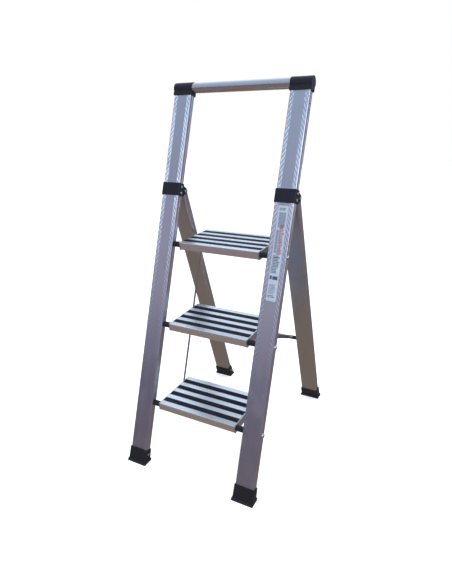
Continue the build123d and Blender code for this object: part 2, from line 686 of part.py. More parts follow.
def crossbar():
    end = LEG_IN + CROSSBAR_GRIP
    return tube_x(-end, end, *BAR, CROSSBAR_D, CROSSBAR_D - 2 * CROSSBAR_WALL)


def crossbar_spacers():
    return group(tube_x(*span(side, INNER - LEG_SPACER, LEG_IN), *BAR, LEG_SPACER_D, CROSSBAR_D)
                 for side in (-1, 1))


# ---- the whole stool ------------------------------------------------------------------------
def parts():
    """Yield (name, shape) for every sub-part."""
    sides = (("left", -1), ("right", 1))
    for word, side in sides:
        yield f"{word}_stile", stile(side)
        yield f"{word}_top_cap", top_cap(side)
        yield f"{word}_hinge_bracket", hinge_bracket(side)
        yield f"{word}_front_foot", front_foot(side)
        yield f"{word}_pivot_pin", pivot_pin(side)
        yield f"{word}_rear_leg", rear_leg(side)
        yield f"{word}_leg_plug", leg_plug(side)
        yield f"{word}_rear_foot", rear_foot(side)
        yield f"{word}_link_rod", link_rod(side)
        yield f"{word}_brace", brace(side)
    yield "handrail", handrail()
    yield "cap_screws", group(cap_screw(side) for _, side in sides)
    yield "bracket_rivets", bracket_rivets()
    yield "front_foot_rivets", foot_rivets(FRONT, STILE_LOW, MID)
    yield "rear_foot_rivets", foot_rivets(REAR, LEG_LOW, 0)
    yield "axle_washers", axle_washers()
    yield "link_rod_pins", link_rod_pins()
    yield "brace_pins", brace_pins()
    yield "crossbar", crossbar()
    yield "crossbar_spacers", crossbar_spacers()
    panel = push_x(tread_section(), -PANEL_HALF, PANEL_HALF)
    strip = strip_section()
    for k, step in enumerate(("bottom_step", "middle_step", "top_step")):
        yield f"{step}_axle", axle(k)
        yield f"{step}_spacers", spacers(k)
        yield f"{step}_tread", on_step(k) * panel
        yield f"{step}_grip_strips", grip_strips(k, strip)
        yield f"{step}_bushes", bushes(k)
        yield f"{step}_screws", end_plate_screws(k)
        for word, side in sides:
            yield f"{step}_{word}_end_plate", end_plate(k, side)


def report_hinges():
    """Print pivots and travel in the shared frame, metres and degrees."""
    def point(p):
        return round((p[0] - MID_Y) / 1000, 6), round(p[1] / 1000, 6)
    fold = turned(BAR[0] - PIVOT[0], BAR[1] - PIVOT[1], -FOLD_LEG)
    bar = PIVOT[0] + fold[0], PIVOT[1] + fold[1]
    arm = turned(BRACE_REACH, -BRACE_BELOW, FOLD_TREAD)
    top = AXLES[1][0] + arm[0], AXLES[1][1] + arm[1]
    now = degrees(atan2(BRACE_TOP[1] - BAR[1], BRACE_TOP[0] - BAR[0]))
    then = degrees(atan2(top[1] - bar[1], top[0] - bar[0]))
    swing = (then - now + 180) % 360 - 180 + FOLD_LEG
    print("pivot", point(PIVOT), "bar", point(BAR), "axles", [point(a) for a in AXLES])
    print("rod pivots", [point(p) for p in ROD_PIVOTS], "brace top", point(BRACE_TOP))
    print("leg", FOLD_LEG, "tread", FOLD_TREAD, "brace", round(swing, 4), "reach", BRACE_REACH)
    print("lengths", BRACE_LENGTH, hypot(top[0] - bar[0], top[1] - bar[1]))


if __name__ == "__main__":
    os.makedirs("parts", exist_ok=True)
    for name, shape in parts():
        export_step(Pos(0, -MID_Y, 0) * shape, f"parts/{name}.step")
    report_hinges()
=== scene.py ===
"""Looks of a slim folding step stool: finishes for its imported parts, its sticker, its studio.

Laid out as an add-on and run as a script.  Metres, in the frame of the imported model:
+Z up, X across the treads, the user climbs from the -Y side.
"""
import json
from math import atan2, cos, pi, sin

import bpy
from bpy.props import FloatProperty, FloatVectorProperty, IntProperty, PointerProperty
from mathutils import Matrix, Vector


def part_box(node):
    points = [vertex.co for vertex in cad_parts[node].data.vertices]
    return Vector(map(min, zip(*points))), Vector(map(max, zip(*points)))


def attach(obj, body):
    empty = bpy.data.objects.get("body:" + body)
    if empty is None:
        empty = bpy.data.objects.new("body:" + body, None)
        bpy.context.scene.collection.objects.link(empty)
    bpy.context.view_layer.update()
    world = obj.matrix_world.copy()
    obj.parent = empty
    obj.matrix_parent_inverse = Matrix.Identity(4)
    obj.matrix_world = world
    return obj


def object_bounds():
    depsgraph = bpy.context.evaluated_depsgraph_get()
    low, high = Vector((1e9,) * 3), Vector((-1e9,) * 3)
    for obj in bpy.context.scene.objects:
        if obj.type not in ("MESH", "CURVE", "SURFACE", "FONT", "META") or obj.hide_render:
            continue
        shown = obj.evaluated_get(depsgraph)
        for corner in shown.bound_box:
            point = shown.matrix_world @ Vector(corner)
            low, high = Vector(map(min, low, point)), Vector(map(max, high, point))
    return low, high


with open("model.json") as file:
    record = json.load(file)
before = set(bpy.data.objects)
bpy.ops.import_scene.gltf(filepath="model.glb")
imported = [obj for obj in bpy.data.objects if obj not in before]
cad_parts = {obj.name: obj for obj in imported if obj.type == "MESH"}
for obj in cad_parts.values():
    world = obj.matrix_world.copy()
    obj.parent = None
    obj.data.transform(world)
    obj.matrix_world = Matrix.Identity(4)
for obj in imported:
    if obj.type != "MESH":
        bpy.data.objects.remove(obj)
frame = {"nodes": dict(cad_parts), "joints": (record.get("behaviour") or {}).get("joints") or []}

bl_info = {
    "name": "Folding Step Stool",
    "version": (1, 0, 0),
    "blender": (4, 5, 0),
    "location": "View3D > Sidebar > Step Stool",
    "description": "Finishes, sticker and studio of a slim folding step stool",
    "category": "Object",
}

NODES = frame["nodes"]
CAD_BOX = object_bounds()
SIDES = ("left", "right")
STEPS = ("bottom_step", "middle_step", "top_step")
MM = 0.001
STICKER_RIM = 0.0009        # flat rim of the film
STICKER_ROLL = 0.0004       # width of the step inside the rim
STICKER_RISE = 0.35         # height of that step as a share of the film


# ---- what the frame says ------------------------------------------------------------------
def joint_place(name):
    """A joint's point in metres."""
    found = [j for j in frame["joints"] if j["name"] == name]
    return Vector(found[0]["pos_m"])


def reach(node, direction):
    """Least and greatest distance of a node's vertices along a direction."""
    along = [v.co.dot(direction) for v in NODES[node].data.vertices]
    return min(along), max(along)


RISE = joint_place("top_step_fold") - joint_place("bottom_step_fold")
FRONT_LEAN = atan2(RISE.y, RISE.z)
STILE_UP = Vector((0, sin(FRONT_LEAN), cos(FRONT_LEAN)))
STILE_OUT = Vector((0, -cos(FRONT_LEAN), sin(FRONT_LEAN)))
STILE_FACE = reach("right_stile", STILE_OUT)[1]


def leg_lean():
    """Lean of the rear legs from vertical, from the hinge pin to the middle of the soles."""
    low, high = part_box("right_rear_foot")
    drop = joint_place("leg_fold") - Vector((0, (low.y + high.y) / 2, low.z))
    return atan2(-drop.y, drop.z)


REAR_LEAN = leg_lean()


# ---- settings -------------------------------------------------------------------------------
def colour(name, value, text):
    return FloatVectorProperty(name=name, description=text, default=value, subtype="COLOR",
                               size=3, min=0.0, max=1.0)


def length(name, value, text):
    return FloatProperty(name=name, description=text, default=value, subtype="DISTANCE",
                         unit="LENGTH", min=0.0)


class StoolColours(bpy.types.PropertyGroup):
    """Base colours of the finishes."""
    stile: colour("Stile", (0.62, 0.65, 0.72), "Anodised face of the stiles and rear legs")
    # The next two colours are painted highlight and painted shade: the bright and dark dashes along
    # the flutes.
    glint_bright: colour("Bright glint", (0.80, 0.88, 0.98), "Bright dashes along the flutes")
    glint_dark: colour("Dark glint", (0.46, 0.54, 0.64), "Flutes between the dashes")
    rail: colour("Rail", (0.68, 0.70, 0.74), "Hand rail")
    tread: colour("Tread", (0.95, 0.97, 1.0), "Drawn tread panel")
    plate: colour("End plate", (0.60, 0.63, 0.70), "Stamped end plates")
    moulding: colour("Moulding", (0.0105, 0.0120, 0.0190), "Moulded caps, brackets and collars")
    boot: colour("Boot", (0.0110, 0.0102, 0.0135), "Rubber boots")
    strip: colour("Strip", (0.0085, 0.0105, 0.020), "Grip strips")
    dust: colour("Dust", (0.16, 0.155, 0.15), "Dust in the grooves of rubber")
    rivet: colour("Rivet", (0.78, 0.80, 0.82), "Plated rivets, screws and axles")
    zinc: colour("Zinc", (0.50, 0.50, 0.49), "Zinc plated rods and braces")
    paper: colour("Sticker", (0.44, 0.51, 0.57), "Sticker film")
    ink: colour("Ink", (0.02, 0.03, 0.06), "Dark print on the sticker")
    grey_ink: colour("Grey ink", (0.055, 0.085, 0.15), "Light print on the sticker")
    accent: colour("Accent ink", (0.27, 0.045, 0.085), "Coloured print on the sticker")


class StoolSizes(bpy.types.PropertyGroup):
    """Sizes of the pieces that are made here."""
    sticker_length: length("Sticker length", 0.262, "Along the stile")
    sticker_width: length("Sticker width", 0.0295, "Across the stile")
    sticker_gap: length("Sticker gap", 0.0082, "Below the hinge bracket")
    sticker_film: length("Sticker film", 0.00016, "Thickness of the film")
    sticker_sink: length("Sticker sink", 0.0005, "Depth of the panel that it lies in")
    sticker_corner: length("Sticker corner", 0.0022, "Corner radius")
    flute_first: length("First flute", 0.0177, "Middle of the stile to the first flute")
    flute_pitch: length("Flute pitch", 0.0023, "One flute to the next")
    # The next two sizes place the dashes of painted highlight and shade along the flutes.
    glinting: length("Glinting", 0.0150, "Pitch of the dashes along the flutes")
    glinting_rise: FloatVectorProperty(name="Chatter rise", description="Up the tube, where the "
                                      "chatter starts and where it is full", size=2,
                                      subtype="XYZ_LENGTH", unit="LENGTH", default=(0.15, 0.55))
    flutes: IntProperty(name="Flutes", description="On each side of the panel", default=4, min=1)


class StoolStudio(bpy.types.PropertyGroup):
    """Camera and light."""
    camera: FloatVectorProperty(name="Camera", description="Camera place", subtype="TRANSLATION",
                                unit="LENGTH", size=3, default=(0.66197, -1.20993, 1.05739))
    yaw: FloatProperty(name="Yaw", description="Turn to the left of +Y", subtype="ANGLE",
                       default=0.506109)
    pitch: FloatProperty(name="Pitch", description="Up from level", subtype="ANGLE",
                         default=-0.382082)
    roll: FloatProperty(name="Roll", description="Turn about the view axis", subtype="ANGLE",
                        default=-0.035728)
    lens: FloatProperty(name="Lens", description="Focal length in millimetres", default=29.26)
    floor: length("Floor", 14.0, "Side of the floor")
    floor_glow: FloatProperty(name="Floor glow", description="Light that the floor adds",
                              default=0.62, min=0.0)
    sky: FloatProperty(name="Sky", description="Strength of the surroundings", default=1.0,
                       min=0.0)


class StoolSettings(bpy.types.PropertyGroup):
    """All settings of the stool."""
    colours: PointerProperty(type=StoolColours)
    sizes: PointerProperty(type=StoolSizes)
    studio: PointerProperty(type=StoolStudio)


def colours():
    return bpy.context.scene.step_stool.colours


def sizes():
    return bpy.context.scene.step_stool.sizes


# ---- shader graphs --------------------------------------------------------------------------
class Value:
    """A shader socket; an expression on values adds its Math nodes."""

    def __init__(self, graph, socket):
        self.graph = graph
        self.socket = socket

    def math(self, operation, *inputs):
        return self.graph.node("ShaderNodeMath", {"operation": operation},
                               dict(enumerate(inputs)))

    def __add__(self, other):
        return self.math("ADD", self, other)

    def __radd__(self, other):
        return self.math("ADD", other, self)

    def __sub__(self, other):
        return self.math("SUBTRACT", self, other)

    def __rsub__(self, other):
        return self.math("SUBTRACT", other, self)

    def __mul__(self, other):
        return self.math("MULTIPLY", self, other)

    def __rmul__(self, other):
        return self.math("MULTIPLY", other, self)

    def __truediv__(self, other):
        return self.math("DIVIDE", self, other)

    def __rtruediv__(self, other):
        return self.math("DIVIDE", other, self)

    def __mod__(self, other):
        return self.math("FLOORED_MODULO", self, other)

    def __lt__(self, other):
        return self.math("LESS_THAN", self, other)

    def __gt__(self, other):
        return self.math("GREATER_THAN", self, other)

    def __abs__(self):
        return self.math("ABSOLUTE", self)

    def floor(self):
        return self.math("FLOOR", self)

    def cosine(self):
        return self.math("COSINE", self)

    def clamp(self):
        return self.math("MINIMUM", self.math("MAXIMUM", self, 0.0), 1.0)

    def largest(self, other):
        return self.math("MAXIMUM", self, other)


class Graph:
    """A node tree that is built by expressions."""
    COLOUR_A, COLOUR_B, COLOUR_OUT = 6, 7, 2

    def __init__(self, tree):
        self.tree = tree
        tree.nodes.clear()

    def node(self, kind, settings=None, sockets=None, out=0):
        """Add a node: settings first, then values and links of its sockets."""
        made = self.tree.nodes.new(kind)
        for key, value in (settings or {}).items():
            if key == "stops":
                self.set_stops(made.color_ramp, value)
            else:
                setattr(made, key, value)
        for key, value in (sockets or {}).items():
            if isinstance(value, Value):
                self.tree.links.new(value.socket, made.inputs[key])
            else:
                made.inputs[key].default_value = value
        return Value(self, made.outputs[out]) if made.outputs else made

    @staticmethod
    def set_stops(ramp, stops):
        while len(ramp.elements) < len(stops):
            ramp.elements.new(1.0)
        for element, (place, shade) in zip(ramp.elements, stops):
            element.position = place
            element.color = (*shade, 1.0)

    def mix(self, factor, a, b):
        """Blend two colours."""
        pads = {self.COLOUR_A: a, self.COLOUR_B: b}
        sockets = {k: v if isinstance(v, Value) else (*v, 1.0) for k, v in pads.items()}
        return self.node("ShaderNodeMix", {"data_type": "RGBA"}, {0: factor, **sockets},
                         self.COLOUR_OUT)

    def scaled(self, vector, scale):
        return self.node("ShaderNodeVectorMath", {"operation": "MULTIPLY"},
                         {0: vector, 1: scale})

    def noise(self, vector, scale, detail=2.0, rough=0.5):
        """Noise between 0 and 1 at a scale per metre along each axis."""
        return self.node("ShaderNodeTexNoise", None,
                         {"Vector": self.scaled(vector, scale), "Scale": 1.0, "Detail": detail,
                          "Roughness": rough})

    def fade(self, value, low, high):
        """Smooth step from 0 at low to 1 at high."""
        return self.node("ShaderNodeMapRange", {"interpolation_type": "SMOOTHSTEP"},
                         {"Value": value, "From Min": low, "From Max": high})

    def parts(self, vector):
        return [self.node("ShaderNodeSeparateXYZ", None, {0: vector}, k) for k in range(3)]

    def bump(self, height, depth, strength=1.0):
        """Normal from a height field; depth in metres."""
        return self.node("ShaderNodeBump", None,
                         {"Height": height, "Distance": depth, "Strength": strength})


class Finish(Graph):
    """A material whose pattern lies in a piece's own directions."""

    def __init__(self, name, lean=0.0, centre=(0.0, 0.0, 0.0)):
        self.material = bpy.data.materials.new(name)
        self.material.use_nodes = True
        super().__init__(self.material.node_tree)
        place = self.node("ShaderNodeTexCoord", out=3)
        self.place = self.node("ShaderNodeMapping", {"vector_type": "TEXTURE"},
                               {"Vector": place, "Location": centre,
                                "Rotation": (-lean, 0.0, 0.0)})
        self.x, self.y, self.z = self.parts(self.place)

    def shade(self, **sockets):
        """End in a Principled shader; names with underscores for spaces."""
        named = {key.replace("_", " "): value for key, value in sockets.items()}
        shader = self.node("ShaderNodeBsdfPrincipled", None, named)
        self.node("ShaderNodeOutputMaterial", None, {0: shader})
        return self.material


def dress(material, *nodes):
    """Give CAD nodes a finish."""
    for node in nodes:
        slots = NODES[node].data.materials
        slots.clear()
        slots.append(material)


def sided(*pieces):
    return [f"{side}_{piece}" for piece in pieces for side in SIDES]


# ---- finishes -------------------------------------------------------------------------------
def drawn_metal(finish, run, tint, dark, rough=0.34):
    """Anodised drawn metal: lines along run, soft mottling, smudges and a few scratches.

    Returns colour, roughness and normal.
    """
    across = 1400.0
    fine = [across, across, across]
    fine[run] = 5.0
    broad = [160.0, 160.0, 160.0]
    broad[run] = 2.5
    lines = finish.noise(finish.place, fine, 3.0, 0.6)
    streaks = finish.noise(finish.place, broad, 2.0)
    mottle = finish.noise(finish.place, (9.0, 9.0, 9.0), 3.0)
    smudge = finish.noise(finish.place, (26.0, 26.0, 26.0), 4.0, 0.62)
    grain = finish.noise(finish.place, (2600.0, 2600.0, 2600.0), 1.0)
    tilted = finish.node("ShaderNodeMapping", None,
                         {"Vector": finish.place, "Rotation": (0.3, 0.5, 0.4),
                          "Scale": (900.0, 60.0, 900.0)})
    scratch = finish.fade(finish.node("ShaderNodeTexNoise", None,
                                      {"Vector": tilted, "Scale": 1.0, "Detail": 1.0}),
                          0.76, 0.82)
    tone = (lines * 0.45 + streaks * 0.55 + mottle * 0.35 - 0.3).clamp()
    shade = finish.mix(tone, dark, tint)
    shade = finish.mix(scratch * 0.35, shade, (0.86, 0.87, 0.9))
    gloss = rough - 0.06 + lines * 0.07 + finish.fade(smudge, 0.45, 0.75) * 0.09 - scratch * 0.08
    relief = lines + grain * 0.5 - scratch * 0.8
    return shade, gloss, finish.bump(relief, 0.00002, 0.45)


def flute_mask(finish, centre):
    """Band of flutes beside the panel, and the slanted dashes of painted highlight and painted
    shade that break it up.
    """
    size = sizes()
    off = abs(abs(finish.x) - centre)
    first = size.flute_first - size.flute_pitch / 2
    band = (off > first) * (off < first + size.flutes * size.flute_pitch)
    turn = (finish.z * (2 * pi / size.glinting) + off * (pi / size.flute_pitch / 2)).cosine()
    uneven = finish.noise(finish.place, (220.0, 220.0, 60.0), 2.0)
    return band, finish.fade(turn + uneven - 0.5, -0.8, 0.8)


def tube_finish(name, lean, depth, node):
    """Fluted anodised tube with slanted dashes of painted highlight and shade, fading down it;
    depth is their strength.

    The dashes are painted glints that stand for the glitter of fine flutes, not a feature of the
    tube.
    """
    low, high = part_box(node)
    centre = abs(low.x + high.x) / 2
    finish = Finish(name, lean)
    tone = colours()
    shade, gloss, normal = drawn_metal(finish, 2, tone.stile, [c * 0.86 for c in tone.stile])
    band, dash = flute_mask(finish, centre)
    least = 0.25
    band = band * (least + (1 - least) * finish.fade(finish.z, *sizes().glinting_rise)) * depth
    # The flute band is painted in bright and dark dashes: painted highlight and painted shade, not
    # a feature of the metal.
    shade = finish.mix(band, shade, finish.mix(dash, tone.glint_dark, tone.glint_bright))
    gloss = gloss + band * (0.06 - dash * 0.10)
    return finish.shade(Base_Color=shade, Metallic=1.0, Roughness=gloss, Normal=normal)


def rail_finish():
    finish = Finish("rail_anodised", FRONT_LEAN)
    tone = colours().rail
    shade, gloss, normal = drawn_metal(finish, 0, tone, [c * 0.88 for c in tone], 0.27)
    return finish.shade(Base_Color=shade, Metallic=1.0, Roughness=gloss, Normal=normal)


def tread_finish():
    """Drawn tread panel: lines across the step, lighter rubbed patches, and a painted highlight
    along the front nose.
    """
    finish = Finish("tread_drawn")
    tone = colours().tread
    shade, gloss, normal = drawn_metal(finish, 0, tone, [c * 0.84 for c in tone], 0.36)
    rub = finish.fade(finish.noise(finish.place, (14.0, 40.0, 14.0), 4.0, 0.6), 0.5, 0.75)
    # A bright line along the front nose of each tread is a painted highlight of the rounded arris.
    # The surface there is also smoother, as if worn.
    low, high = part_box("top_step_tread")
    slope = RISE.y / RISE.z
    nose = abs(finish.y - finish.z * slope - (low.y - high.z * slope))
    nose_highlight = 1.0 - finish.fade(nose, 0.0015, 0.0035)
    shade = finish.mix(rub * 0.4, shade, (0.84, 0.86, 0.9))
    shade = finish.mix(nose_highlight, shade, (0.96, 0.98, 1.0))
    return finish.shade(Base_Color=shade, Metallic=1.0, Normal=normal,
                        Roughness=gloss + rub * 0.05 - nose_highlight * 0.12)


def plate_finish():
    """Stamped end plates with a tumbled, satin skin."""
    finish = Finish("plate_stamped")
    tone = colours().plate
    skin = finish.noise(finish.place, (700.0, 700.0, 700.0), 3.0, 0.6)
    mottle = finish.noise(finish.place, (22.0, 22.0, 22.0), 3.0)
    nick = finish.fade(finish.noise(finish.place, (210.0, 900.0, 210.0), 1.0), 0.74, 0.8)
    shade = finish.mix(skin * 0.5 + mottle * 0.5, [c * 0.82 for c in tone], tone)
    shade = finish.mix(nick * 0.4, shade, (0.85, 0.86, 0.9))
    return finish.shade(Base_Color=shade, Metallic=1.0, Roughness=0.3 + skin * 0.12,
                        Normal=finish.bump(skin - nick, 0.00003, 0.5))


def moulded_finish():
    """Spark-grained polymer with faint flow marks and handling shine."""
    finish = Finish("moulded_black")
    tone = colours().moulding
    grain = finish.noise(finish.place, (1700.0, 1700.0, 1700.0), 2.0, 0.6)
    flow = finish.noise(finish.place, (30.0, 90.0, 30.0), 3.0)
    shine = finish.fade(finish.noise(finish.place, (18.0, 18.0, 18.0), 3.0), 0.45, 0.7)
    scuff = finish.fade(finish.noise(finish.place, (60.0, 700.0, 500.0), 2.0), 0.7, 0.78)
    shade = finish.mix(flow * 0.7 + grain * 0.3, [c * 0.75 for c in tone],
                       [c * 1.3 for c in tone])
    shade = finish.mix(scuff * 0.3, shade, (0.10, 0.10, 0.11))
    return finish.shade(Base_Color=shade, Roughness=0.46 - shine * 0.12 + grain * 0.06,
                        Specular_IOR_Level=0.3, Normal=finish.bump(grain, 0.00006, 0.5))


def boot_finish():
    """Soft rubber: fine skin, floor dust low down, scuffed patches."""
    finish = Finish("boot_rubber")
    tone = colours()
    skin = finish.noise(finish.place, (900.0, 900.0, 900.0), 3.0, 0.6)
    cloud = finish.noise(finish.place, (45.0, 45.0, 45.0), 4.0, 0.6)
    low = 1.0 - finish.fade(finish.z, 0.0, 0.012)
    dust = (low * 0.5 + finish.fade(cloud, 0.55, 0.8) * 0.3) * skin
    shade = finish.mix(skin, [c * 0.8 for c in tone.boot], [c * 1.25 for c in tone.boot])
    shade = finish.mix(dust * 0.35, shade, tone.dust)
    return finish.shade(Base_Color=shade, Roughness=0.62 + dust * 0.15 - cloud * 0.08,
                        Specular_IOR_Level=0.3, Normal=finish.bump(skin, 0.00008, 0.5))


def strip_finish():
    """Ribbed grip rubber with dust between the ribs and rubbed crowns."""
    finish = Finish("strip_rubber")
    tone = colours()
    skin = finish.noise(finish.place, (1300.0, 500.0, 1300.0), 3.0, 0.6)
    wear = finish.fade(finish.noise(finish.place, (20.0, 60.0, 20.0), 4.0, 0.6), 0.45, 0.75)
    shade = finish.mix(skin, [c * 0.8 for c in tone.strip], [c * 1.3 for c in tone.strip])
    shade = finish.mix(wear * 0.10, shade, tone.dust)
    return finish.shade(Base_Color=shade, Roughness=0.58 + skin * 0.1 - wear * 0.06,
                        Specular_IOR_Level=0.3, Normal=finish.bump(skin, 0.00005, 0.5))


def plated_finish(name, tint, rough, patch):
    """Plated steel: fine tool marks, cloudy plating, small dull patches."""
    finish = Finish(name)
    fine = finish.noise(finish.place, (1500.0, 1500.0, 1500.0), 2.0)
    cloud = finish.noise(finish.place, (60.0, 60.0, 60.0), 4.0, 0.65)
    dull = finish.fade(cloud, 0.52, 0.7) * patch
    shade = finish.mix(fine * 0.4 + cloud * 0.6, [c * 0.8 for c in tint], tint)
    shade = finish.mix(dull, shade, [c * 0.62 for c in tint])
    return finish.shade(Base_Color=shade, Metallic=1.0, Roughness=rough + dull * 0.15 + fine * 0.06,
                        Normal=finish.bump(fine + dull, 0.00002, 0.4))


# ---- sticker --------------------------------------------------------------------------------
class Print:
    """Marks printed on the sticker, placed in millimetres from its middle and its top."""

    def __init__(self, finish, top):
        self.finish = finish
        self.u = finish.x / MM
        self.v = (top - finish.y) / MM

    def band(self, axis, low, high):
        return (axis > low) * (axis < high)

    def patch(self, left, right, top, bottom):
        return self.band(self.u, left, right) * self.band(self.v, top, bottom)

    def rows(self, left, right, top, bottom, pitch, weight):
        """Lines of uneven length and weight, like a column of small print."""
        row = ((self.v - top) / pitch).floor()
        chance = self.finish.node("ShaderNodeTexWhiteNoise", {"noise_dimensions": "1D"},
                                  {"W": row + left})
        ends = left + (right - left) * (chance * 0.35 + 0.65)
        stroke = ((self.v - top) % pitch) < pitch * weight
        gaps = self.finish.noise(self.finish.place, (1100.0, 60.0, 1.0), 0.0)
        return self.patch(left, right, top, bottom) * stroke * (self.u < ends) * (gaps > 0.34)

    def together(self, *places):
        """All marks given as a kind and its place."""
        whole = None
        for kind, *place in places:
            mark = getattr(self, kind)(*place)
            whole = whole.largest(mark) if whole else mark
        return whole

    def tiles(self, left, right, top, bottom, pitch):
        """Grid of square outlines, each round a plain dot."""
        across = abs(((self.u - left) % pitch) - pitch / 2)
        down = abs(((self.v - top) % pitch) - pitch / 2)
        side = across.largest(down)
        edge = (side > pitch * 0.36) * (side < pitch * 0.48)
        dot = (across * across + down * down) < (pitch * 0.27) ** 2
        return self.patch(left, right, top, bottom) * edge.largest(dot)


def sticker_finish(centre):
    """Pale film with a generic layout: a heading bar, tiles, rows of small print."""
    size, tone = sizes(), colours()
    finish = Finish("sticker_print", FRONT_LEAN - pi / 2, centre)
    marks = Print(finish, size.sticker_length / 2)
    full = size.sticker_length / MM
    grey = marks.together(
        ("rows", -11, 11, 6, 13, 2.6, 0.7),
        ("tiles", -10.5, 10.5, 18, 60, 7.0),
        ("tiles", -12, -4, 66, 130, 8.0),
        ("rows", -12, 12, 136, 186, 4.2, 0.66),
        ("rows", -11, 11, 216, full - 20, 3.4, 0.5))
    dark = marks.together(
        ("patch", -12, -6, 192, 202),
        ("patch", -4, 11, 193, 203),
        ("rows", -12, 12, full - 16, full - 8, 4.0, 0.6),
        ("patch", -9, 9, 140, 143))
    accent = marks.rows(-3, 12, 52, 134, 4.2, 0.72)
    fade = finish.noise(finish.place, (60.0, 14.0, 1.0), 3.0)
    film = finish.mix(fade, [c * 0.9 for c in tone.paper], [min(c * 1.1, 1.0) for c in tone.paper])
    wear = 0.75 + fade * 0.3
    shade = finish.mix(grey * wear, film, tone.grey_ink)
    shade = finish.mix(accent * wear, shade, tone.accent)
    shade = finish.mix(dark * wear, shade, tone.ink)
    skin = finish.noise(finish.place, (500.0, 90.0, 1.0), 2.0)
    return finish.shade(Base_Color=shade, Roughness=0.32 + skin * 0.12 + grey * 0.05,
                        Normal=finish.bump(skin, 0.00004, 0.4))


# ---- modelling ------------------------------------------------------------------------------
def deselect():
    bpy.ops.object.select_all(action="DESELECT")


def new_piece(name):
    """Name the object just added and leave it alone in the selection."""
    piece = bpy.context.object
    piece.name = piece.data.name = name
    return piece


def settle(piece):
    """Put a piece's place, turn and scale into its mesh."""
    deselect()
    piece.select_set(True)
    bpy.context.view_layer.objects.active = piece
    bpy.ops.object.transform_apply(location=True, rotation=True, scale=True)


def pick(piece, mode, test):
    """Select the edges, faces or vertices that pass a test, with edit mode on."""
    bpy.ops.object.mode_set(mode="EDIT")
    bpy.ops.mesh.select_mode(type=mode)
    bpy.ops.mesh.select_all(action="DESELECT")
    bpy.ops.object.mode_set(mode="OBJECT")
    items = {"EDGE": piece.data.edges, "FACE": piece.data.polygons,
             "VERT": piece.data.vertices}[mode]
    for item in items:
        item.select = test(item)
    bpy.ops.object.mode_set(mode="EDIT")


def make_sticker():
    """Film with rounded corners and a rolled edge in the panel of the right stile."""
    size = sizes()
    low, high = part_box("right_stile")
    bracket = reach("right_hinge_bracket", STILE_UP)[0]
    middle = bracket - size.sticker_gap - size.sticker_length / 2
    out = STILE_FACE - size.sticker_sink + size.sticker_film / 2
    centre = Vector(((low.x + high.x) / 2, 0, 0)) + STILE_UP * middle + STILE_OUT * out
    deselect()
    bpy.ops.mesh.primitive_cube_add(size=1.0, location=centre,
                                    rotation=(pi / 2 - FRONT_LEAN, 0, 0))
    piece = new_piece("right_stile_sticker")
    piece.scale = (size.sticker_width, size.sticker_length, size.sticker_film)
    settle(piece)

    def along_film(edge):
        a, b = (piece.data.vertices[v].co for v in edge.vertices)
        return abs((b - a).normalized().dot(STILE_OUT)) > 0.99

    pick(piece, "EDGE", along_film)
    bpy.ops.mesh.bevel(offset=size.sticker_corner, offset_type="OFFSET", segments=6)
    bpy.ops.object.mode_set(mode="OBJECT")
    pick(piece, "FACE", lambda face: face.normal.dot(STILE_OUT) > 0.99)
    bpy.ops.mesh.inset(thickness=STICKER_RIM, depth=0.0)
    bpy.ops.mesh.inset(thickness=STICKER_ROLL, depth=size.sticker_film * STICKER_RISE)
    bpy.ops.object.mode_set(mode="OBJECT")
    piece.data.materials.append(sticker_finish(centre))
    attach(piece, "front_frame")


# ---- studio ---------------------------------------------------------------------------------
def area_light(name, place, target, side, power, tint):
    """Soft box that shows only in what it lights."""
    light = bpy.data.lights.new(name, "AREA")
    light.shape = "RECTANGLE"
    light.size, light.size_y = side
    light.energy = power
    light.color = tint
    lamp = bpy.data.objects.new(name, light)
    bpy.context.collection.objects.link(lamp)
    lamp.location = place
    lamp.rotation_euler = (Vector(target) - Vector(place)).to_track_quat("-Z", "Y").to_euler()
    lamp.visible_camera = False
    return lamp


def make_sky():
    """Surroundings: plain white to the eye, a soft cool sky and warm ground in reflections."""
    world = bpy.data.worlds.new("studio")
    world.use_nodes = True
    bpy.context.scene.world = world
    graph = Graph(world.node_tree)
    away = graph.node("ShaderNodeTexCoord")
    x, y, z = graph.parts(away)
    height = z * 0.5 + 0.5
    room = graph.node("ShaderNodeValToRGB", {"stops": (
        (0.00, (0.27, 0.200, 0.150)), (0.30, (0.25, 0.195, 0.170)), (0.44, (0.27, 0.190, 0.205)),
        (0.49, (0.04, 0.055, 0.100)), (0.56, (0.05, 0.065, 0.125)), (0.60, (0.90, 0.720, 0.880)),
        (0.63, (0.62, 0.560, 0.690)), (0.68, (0.33, 0.350, 0.440)), (0.73, (0.41, 0.450, 0.570)),
        (0.80, (0.46, 0.560, 0.710)), (0.90, (0.50, 0.600, 0.790)), (1.00, (0.52, 0.620, 0.800))
    )}, {0: height})
    behind = graph.fade(y, -0.2, 0.6) * graph.fade(z, -0.02, 0.2)
    lit = graph.mix(behind, room, (0.96, 1.12, 1.32))
    seen = graph.node("ShaderNodeLightPath")
    sky = graph.node("ShaderNodeBackground", None,
                     {0: graph.mix(seen, lit, (1.0, 1.0, 1.0)),
                      1: bpy.context.scene.step_stool.studio.sky})
    graph.node("ShaderNodeOutputWorld", None, {0: sky})


def make_floor():
    """Plain pale floor that reaches past the view."""
    studio = bpy.context.scene.step_stool.studio
    deselect()
    bpy.ops.mesh.primitive_plane_add(size=studio.floor, location=(0, 0, CAD_BOX[0][2]))
    floor = new_piece("floor")
    finish = Finish("pale_floor")
    speck = finish.noise(finish.place, (3.0, 3.0, 3.0), 4.0)
    shade = finish.mix(speck, (0.88, 0.88, 0.88), (0.92, 0.92, 0.92))
    floor.data.materials.append(finish.shade(
        Base_Color=shade, Roughness=0.9, Specular_IOR_Level=0.0,
        Emission_Color=shade, Emission_Strength=studio.floor_glow))
    floor.visible_glossy = False


